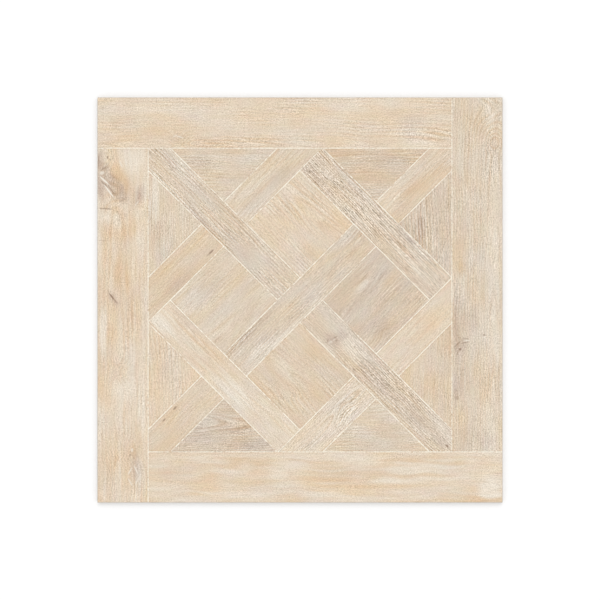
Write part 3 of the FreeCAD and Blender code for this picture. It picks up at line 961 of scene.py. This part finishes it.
leaning = across + bend * LEAN + ripple * SHIVER
fibre = noise(along * 15, leaning * 290, seed + 9, detail=2, roughness=0.7)    # bundles of fibres
thread = noise(along * 34, leaning * 330, seed + 15, detail=2, roughness=0.7)  # long thin pores
hair = noise(along * 40, leaning * 540, seed + 6, detail=1, roughness=0.6)     # single fibres
dash = noise(along * 190, leaning * 460, seed + 3, detail=1, roughness=0.6)    # short strokes
speckle = noise(along * 430, across * 520, seed + 12, detail=1)                # the print's grain
pore = noise(along * 110, across * 900, seed + 7).between(0.12, 0.24)          # short pores

# %% Drifts of tone
CURL = 30 * MM                    # how far the bend carries the long streaks of tone

streaming = across + bend * CURL
patchy = noise(along * 11, across * 28, seed + 14, detail=1)                   # bold or faint rings
cloud = noise(along * 9, across * 24, seed + 1, detail=2)                      # dark or pale
drift = noise(along * 6, across * 15, seed + 4, detail=2)                      # honey or lime
flow = noise(along * 9, streaming * 85, seed + 16, detail=1)                   # the same, in streaks
blush = noise(along * 12, across * 26, seed + 11, detail=1)                    # blue or yellow
rosy = noise(along * 25, across * 50, seed + 13, detail=3, roughness=0.7)      # pink or green
mottle = noise(along * 90, across * 190, seed + 8, detail=2, roughness=0.7)    # ragged outlines

# %% [markdown]
# ## How strong each pattern is
# A noise stays within half a unit of nought, so each is weighed before it is added. Rings, fibres and
# threads are stronger on a board with bold rings, and where a bold blot lies. The sum of the ring
# patterns goes both ways: above nought it darkens the wood, below it lime shows. The weights were set
# by trial against the photograph, one board after another.

# %% Weights
ring_weight = (lines + bold_blot + patchy * 1.8).between(-0.3, 2.3) * 2.2


def bolder(calm, gain):
    """A weight that is calm where the rings are faint, and gains as they get bolder."""
    return calm + gain * ring_weight


streak = (figure * 0.95 + broad * 0.5 + late * 0.75) * ring_weight
streak = streak + fibre * bolder(0.25, 0.7) + cloud * 0.6
dark = streak.clamped()
pale = (-streak).clamped()
fine = (hair * 3.6 + dash * 4.2) * bolder(0.3, 0.65) + speckle * bolder(3.6, 2.9)
open_pore = (thread + 0.02 * ring_weight).between(0.12, 0.22) * bolder(0.1, 0.45)
limed_pore = (0.01 * ring_weight - thread).between(0.14, 0.24) * bolder(0.4, 0.5)
grey = (grey_blot * (0.9 + 1.8 * mottle) + greyness * cloud * 0.9).clamped()
gold = (gold_blot * (0.8 + 1.6 * drift) + cloudiness * (drift * 2.0 + flow * 1.2)).clamped()
lime = (pale_blot * (0.8 + 1.6 * drift) - cloudiness * (drift + flow * 1.2)).clamped()

# %% [markdown]
# ## Colour in layers
# The board's tone is the ground, turned a little towards pink or yellow by the slow noises. Stains
# multiply it and keep the grain below visible, and lime covers it. The number beside each pattern is
# the most that shows of it. The finest grain takes nearly the same from red, green and blue, so that
# it changes how bright the wood is, but hardly its hue.

# %% Stains and paints
WARM = (0.86, 0.77, 0.68)         # what a dark line leaves of the board's tone; it also darkens pores and paints the shade beside the joints
ASH = (0.74, 0.69, 0.70)          # and a grey stain
SOOT = (0.56, 0.52, 0.48)         # and a thin open pore
SHEEN = (1.27, 1.3, 1.36)         # and a pore that the lime has filled
AMBER = (0.95, 0.86, 0.76)        # and a honey streak
CHALK = srgb(240, 232, 218)       # lime in the pores
UMBER = srgb(150, 124, 104)       # nicks and flecks
GROUT = srgb(255, 250, 236)       # the pale line of a joint

# %% Colour of the wood
reds = 1 + 0.08 * blush + 0.05 * rosy
greens = 1 - 0.1 * blush - 0.09 * rosy
blues = 1 - 0.42 * blush + 0.03 * rosy
colour = times(tone, vector(reds, greens, blues))
colour = stained(colour, AMBER, gold)
colour = mix(colour, CHALK, lime * 0.7)
colour = stained(colour, ASH, grey * 0.8)
colour = stained(colour, WARM, dark * 1.2)
colour = mix(colour, CHALK, pale * 0.75)
colour = times(colour, vector(1 - 0.19 * fine, 1 - 0.2 * fine, 1 - 0.22 * fine))
colour = stained(colour, WARM, pore * 0.5)
colour = stained(colour, SOOT, open_pore)
colour = stained(colour, SHEEN, limed_pore)

# %% [markdown]
# ## Flecks, nicks and joints
# A knot has dark flecks and a few small cracks, and single nicks lie elsewhere. Each nick is an oval
# with a ragged outline, placed by its pixel as the blots are. The joints are printed nearly white over
# their grooves. Noise frays the line and lets it fade here and there, and beside it a little painted
# shade darkens the wood, as if the groove shaded it.

# %% Flecks and nicks
NICKS = (
    # pixel x and y, half length and half width in pixels, heading, darkness (below nought is pale)
    (112, 297, 5, 0.85, 128, 0.95),
    (116, 302, 2.5, 1.0, 125, 0.5),
    (211, 252, 3.5, 1.1, RISE, 0.8),
    (208, 255, 2.5, 0.8, RISE, 0.4),
    (484, 335, 1.4, 0.9, EAST, 0.7),
    (484.5, 337.5, 1.2, 1.0, EAST, -0.6),
    (457, 344.5, 4.5, 0.7, 45, 0.6),
    (460, 349.3, 1.6, 1.4, 60, 0.9),
    (465.5, 338.6, 4, 0.6, 8, 0.5),
    (467, 340.6, 3.6, 0.7, EAST, -0.8),
    (465, 342.6, 5, 0.6, 12, 0.55),
    (457, 398, 2.5, 2.0, NORTH, 0.4),
    (175, 408, 2.6, 1.0, RISE, 0.7),
    (164, 420, 2.4, 0.9, RISE, 0.7),
    (447, 446, 2.5, 0.9, FALL, 0.9),
    (104.4, 180.6, 7.5, 1.0, 138, -1.0),
    (104.2, 184, 6, 0.9, 137, 0.6),
    (108.9, 191.2, 9, 0.95, 127, -1.0),
    (111.5, 190.5, 7, 0.8, 127, 0.5),
    (102, 173, 2.8, 1.8, 20, -0.7),
    (103.5, 168.5, 4, 1, 35, 0.5),
    (107.5, 157.5, 1.8, 0.9, 100, 0.8),
    (110, 159.5, 1.2, 0.8, 100, 0.6),
    (98.6, 161, 7, 0.8, NORTH, 0.5),
    (106, 208.7, 8, 0.9, 176, 0.55),
    (103, 240.5, 6, 0.7, EAST, 0.25),
    (126, 162.5, 3.5, 0.7, 100, -0.6),
    (120.8, 164, 4.5, 0.7, 115, -0.7),
    (137, 203, 5, 0.7, 50, -0.5),
    (330.5, 342, 2.2, 1.4, 30, -0.5),
    (334, 339.5, 2.0, 1.0, 75, -0.45),
    (335, 337.5, 2.4, 0.8, 30, 0.6),
    (336.5, 340.5, 1.3, 1.0, 20, 0.5),
    (327.5, 341, 2.6, 0.8, 70, 0.5),
    (132, 450, 2.4, 1.4, NORTH, -0.7),
    (130, 455, 1.6, 1.0, NORTH, 0.4),
    (136, 470, 5, 0.8, 115, -0.7),
    (130, 471, 5, 0.8, 60, -0.7),
    (137, 481, 5, 0.8, 65, -0.6),
    (130, 482, 5, 0.8, 120, -0.6),
    (198, 428, 6, 0.8, EAST, 0.4),
    (353, 408, 4, 1.2, RISE, -0.8),
    (341, 422, 7, 0.7, 50, -0.7),
    (333, 433, 6, 0.7, RISE, -0.5),
    (180, 137, 4, 0.8, 160, -0.6),
    (175, 136, 3, 0.7, 30, -0.5),
)
NICK_EDGE = (1.3, 0.2)            # of what offset_in gives: no nick beyond, a full one within

fleck = noise(east * 420, north * 420, 6.0).between(0.1, 0.22) * grey_blot.clamped()
colour = mix(colour, UMBER, fleck * 0.6)
for x, y, half_length, half_width, heading, darkness in NICKS:
    inside = offset_in((east, north), x, y, half_length, half_width, heading) + mottle
    share = inside.between(*NICK_EDGE) * abs(darkness)
    colour = mix(colour, UMBER if darkness > 0 else CHALK, share)

# %% Joints
FRAY = 1 * MM                     # how far the line's edge strays
LINE = (1.1 * MM, 0.6 * MM)       # from a joint's middle: no line beyond, a full line within
PAINTED_SHADE_BAND = (4 * MM, 1.5 * MM)        # the same, for the painted shade beside it

frayed = joint + noise(east * 420, north * 420, 1.0, detail=1) * FRAY
gaps = 2.0 * noise(east * 14, north * 14, 3.0, detail=2) + 3.0 * noise(east * 170, north * 170, 2.0)
line = frayed.between(*LINE) * (0.85 + gaps).clamped()
# painted shade: the wood beside each joint is darkened, as if the groove shaded it
painted_joint_shade = joint.between(*PAINTED_SHADE_BAND) * (0.35 + 1.8 * broad).clamped()
colour = stained(colour, WARM, painted_joint_shade * 0.7)
colour = mix(colour, GROUT, line)

# %% Gloss and relief of the print
RING_RELIEF = 0.08 * MM
GRAIN_RELIEF = 0.05 * MM

glaze = 0.6 + 0.12 * fibre + 0.1 * cloud
height = -(figure * lines * RING_RELIEF) - (fibre + pore + dash) * GRAIN_RELIEF
finish_material(shader, colour, glaze, height)
shader.inputs["Specular IOR Level"].default_value = 0.25
print(oak_print.name, "has", len(oak_print.node_tree.nodes), "nodes")

# %% [markdown]
# ## The fired body
# Where there is no print, the tile shows its body: pale beige porcelain with fine specks. Its sides
# are ground, which leaves faint upright lines.

# %% Biscuit
BISCUIT = srgb(204, 189, 169)
SPECK = srgb(176, 160, 142)       # dark grains in it
FLINT = srgb(226, 217, 204)       # pale ones
SCRATCH_RELIEF = 0.04 * MM
SPECK_RELIEF = 0.02 * MM

biscuit, shader = start_material("fired biscuit")
east, north, up = Wire.node("TexCoord", {}, {}, "Object").parts()
specks = noise(east * 900, north * 900, up * 900, detail=1).between(0.1, 0.22)
flints = noise(east * 700, north * 700, up * 700 + 9).between(0.14, 0.24)
patches = noise(east * 25, north * 25, up * 25, detail=2)
scratches = noise(east * 1500, north * 1500, up * 60)
colour = mix(mix(BISCUIT, SPECK, specks * 0.45), FLINT, flints * 0.5)
colour = times(colour, vector(1 + 0.1 * patches, 1 + 0.1 * patches, 1 + 0.08 * patches))
height = scratches * SCRATCH_RELIEF + specks * SPECK_RELIEF
finish_material(shader, colour, 0.78 + 0.1 * patches, height)
shader.inputs["Specular IOR Level"].default_value = 0.2
print(biscuit.name, "has", len(biscuit.node_tree.nodes), "nodes")

# %% Give each face its material
tile.data.materials.clear()
tile.data.materials.append(oak_print)
tile.data.materials.append(biscuit)


def unprinted(face):
    """Whether a face is on the bevel, a side or the back."""
    x, y, z = face.calc_center_median()
    return max(abs(x), abs(y)) > HALF - BEVEL or z < BED - HAIR


enter(tile, "FACE")
pick(tile, unprinted, "faces")
tile.active_material_index = 1    # the biscuit
bpy.ops.object.material_slot_assign()
leave()
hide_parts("tile")
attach(tile, "root")
print("materials:", [m.name for m in tile.data.materials])

# %% [markdown]
# ## Light, floor and camera
# A product picture has a white surround and only a thin, soft shadow. A white world gives most of
# the light. A broad sun adds the rest from the top of the picture, so the shadow is a little heavier
# at the bottom. The floor glows faintly, which lifts it to plain white where nothing shades it.

# %% World
def seen():
    """1 for what the camera sees, also mirrored or through glass, and 0 for what lights the tile."""
    path = Wire.node("LightPath", {}, {}, "Is Camera Ray")
    return (path + path.other("Is Glossy Ray") + path.other("Is Transmission Ray")).clamped()


SKY_SHARE = 0.88                  # of the light that the face gets
world = bpy.data.worlds.new("white surround")
bpy.context.scene.world = world
world.use_nodes = True
Wire.tree = world.node_tree
background = world.node_tree.nodes["Background"]
background.inputs["Color"].default_value = (1, 1, 1, 1)
strength = SKY_SHARE + (1 - SKY_SHARE) * seen()
world.node_tree.links.new(strength.socket, background.inputs["Strength"])
print(f"the white surround gives {SKY_SHARE:.0%} of the light")

# %% Sun
SUN_TILT = math.radians(40)       # from straight above
SUN_TURN = math.radians(-4)       # from the top of the picture
SUN_WIDTH = math.radians(35)      # how large it looks: a wide sun has soft shadows

bpy.ops.object.light_add(type="SUN", rotation=(-SUN_TILT, 0, SUN_TURN))
sun = bpy.context.active_object
sun.name = "broad sun"
sun.data.angle = SUN_WIDTH
sun.data.energy = (1 - SKY_SHARE) * math.pi / math.cos(SUN_TILT)
print(f"the sun's strength is {sun.data.energy:.2f}")

# %% Floor
DIM = 0.15                        # how pale the floor is to light that bounces off it
PAPER = 0.95                      # and to the camera
GLOW = 0.1                        # light that the floor gives off itself
UNDER = 0.2 * MM                  # the floor lies this far below the tile, so that they don't touch

bpy.ops.mesh.primitive_plane_add(size=8, location=(0, 0, -UNDER))
floor = bpy.context.active_object
floor.name = "white floor"
paper, shader = start_material("white paper")
white = mix((DIM, DIM, DIM, 1), (PAPER, PAPER, PAPER, 1), seen())
Wire.tree.links.new(white.socket, shader.inputs["Base Color"])
shader.inputs["Roughness"].default_value = 1.0
shader.inputs["Specular IOR Level"].default_value = 0.0
shader.inputs["Emission Color"].default_value = (1, 1, 1, 1)
shader.inputs["Emission Strength"].default_value = GLOW
floor.data.materials.append(paper)
print("floor:", tuple(round(side) for side in floor.dimensions[:2]), "m")

# %% Camera
FRAME_WIDTH = 600 * PIXEL         # of the photograph, at the tile's face
LENS, SENSOR = 100, 36            # millimetres
DISTANCE = FRAME_WIDTH * LENS / SENSOR

bpy.ops.object.camera_add(location=(0, 0, FACE + DISTANCE), rotation=(0, 0, 0))
camera = bpy.context.active_object
camera.data.lens = LENS
camera.data.sensor_width = SENSOR
bpy.context.scene.camera = camera
bpy.context.scene.view_settings.view_transform = "Standard"
print(f"camera {DISTANCE:.2f} m above the face, seeing {FRAME_WIDTH:.2f} m")
